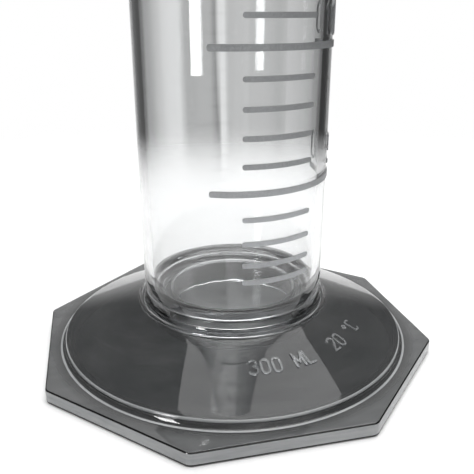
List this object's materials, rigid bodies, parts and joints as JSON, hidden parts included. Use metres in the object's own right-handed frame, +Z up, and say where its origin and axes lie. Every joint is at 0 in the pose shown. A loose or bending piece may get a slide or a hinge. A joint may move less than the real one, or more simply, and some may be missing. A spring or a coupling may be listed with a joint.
{
  "type": "graduated cylinder",
  "caption": "Clear plastic measuring cylinder with a raised scale, a rim bead and a pouring spout, standing on a smoke-grey octagonal foot.",
  "frame": {"origin": "on the standing surface, under the middle of the foot", "axes": "+Z up the tube; the foot's flats face +X, -X, +Y and -Y; the pouring spout points to -X"},
  "size_m": [0.103, 0.103, 0.232],
  "materials": {
    "clear_tube": "polished, transparent",
    "smoke_foot": "polished, smoke-grey transparent",
    "frosted_marks": "frosted relief",
    "foot_relief": "polished relief"
  },
  "bodies": {
    "root": {"measuring_tube": "clear_tube", "octagonal_foot": "smoke_foot", "scale_short_lines": "frosted_marks", "scale_long_lines": "frosted_marks", "scale_figures": "frosted_marks", "unit_marking": "frosted_marks", "foot_wording": "foot_relief"}
  },
  "joints": []
}
